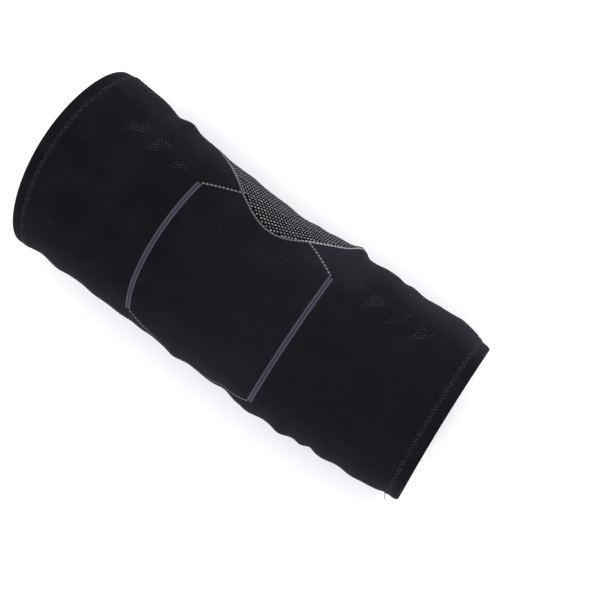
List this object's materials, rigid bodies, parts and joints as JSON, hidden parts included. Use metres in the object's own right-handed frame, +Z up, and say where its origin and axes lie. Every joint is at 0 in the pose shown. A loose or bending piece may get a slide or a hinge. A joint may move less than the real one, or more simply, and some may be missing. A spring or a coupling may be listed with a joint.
{
  "type": "elbow pad",
  "caption": "Knitted elbow sleeve with a soft pad at the elbow point, an open-knit vent in the crook, striped side panels and elastic cuffs.",
  "frame": {"origin": "on the flat underside, directly under the elbow's bending axis", "axes": "+X along the sleeve towards the forearm, +Y towards the crook of the elbow, +Z up out of the sleeve's outer side, parallel to the elbow's bending axis"},
  "size_m": [0.238, 0.1028, 0.0954],
  "materials": {
    "black_knit": "fine ribbed knit, matt",
    "grey_yarn": "soft knitted yarn",
    "vent_knit": "open mesh knit",
    "black_thread": "slightly glossy thread",
    "silicone": "satin silicone",
    "foam": "matt foam",
    "lining": "smooth jersey",
    "elastic": "woven elastic"
  },
  "bodies": {
    "upper_arm": {"upper_sleeve": "black_knit", "upper_cuff_elastic": "elastic", "upper_grip_line": "silicone", "upper_hem_stitching": "black_thread", "lateral_panel": "black_knit", "medial_panel": "black_knit", "crook_vent": "vent_knit", "crook_vent_edging": "grey_yarn", "lateral_upper_stripe_outer": "grey_yarn", "lateral_upper_stripe_inner": "grey_yarn", "medial_upper_stripe_outer": "grey_yarn", "medial_upper_stripe_inner": "grey_yarn", "lateral_upper_front_piping": "grey_yarn", "lateral_upper_back_piping": "grey_yarn", "medial_upper_front_piping": "grey_yarn", "medial_upper_back_piping": "grey_yarn", "elbow_pad": "foam", "pad_pocket": "lining", "pad_pocket_stitching": "black_thread"},
    "forearm": {"forearm_sleeve": "black_knit", "forearm_cuff_elastic": "elastic", "forearm_grip_line": "silicone", "forearm_hem_stitching": "black_thread", "forearm_thread_tail": "black_thread", "lateral_forearm_stripe_outer": "grey_yarn", "lateral_forearm_stripe_inner": "grey_yarn", "medial_forearm_stripe_outer": "grey_yarn", "medial_forearm_stripe_inner": "grey_yarn", "lateral_forearm_front_piping": "grey_yarn", "lateral_forearm_back_piping": "grey_yarn", "medial_forearm_front_piping": "grey_yarn", "medial_forearm_back_piping": "grey_yarn"}
  },
  "joints": [
    {"name": "elbow_flex", "type": "hinge", "parent": "upper_arm", "child": "forearm", "pos_m": [0, 0, 0.044], "axis": [0, 0, 1], "range_deg": [-6, 104], "deforming": ["upper_sleeve", "lateral_panel", "medial_panel", "crook_vent", "crook_vent_edging", "lateral_upper_stripe_outer", "lateral_upper_stripe_inner", "medial_upper_stripe_outer", "medial_upper_stripe_inner", "lateral_upper_front_piping", "lateral_upper_back_piping", "medial_upper_front_piping", "medial_upper_back_piping", "elbow_pad", "pad_pocket", "pad_pocket_stitching", "forearm_sleeve", "lateral_forearm_stripe_outer", "lateral_forearm_stripe_inner", "medial_forearm_stripe_outer", "medial_forearm_stripe_inner", "lateral_forearm_front_piping", "lateral_forearm_back_piping", "medial_forearm_front_piping", "medial_forearm_back_piping"]}
  ]
}
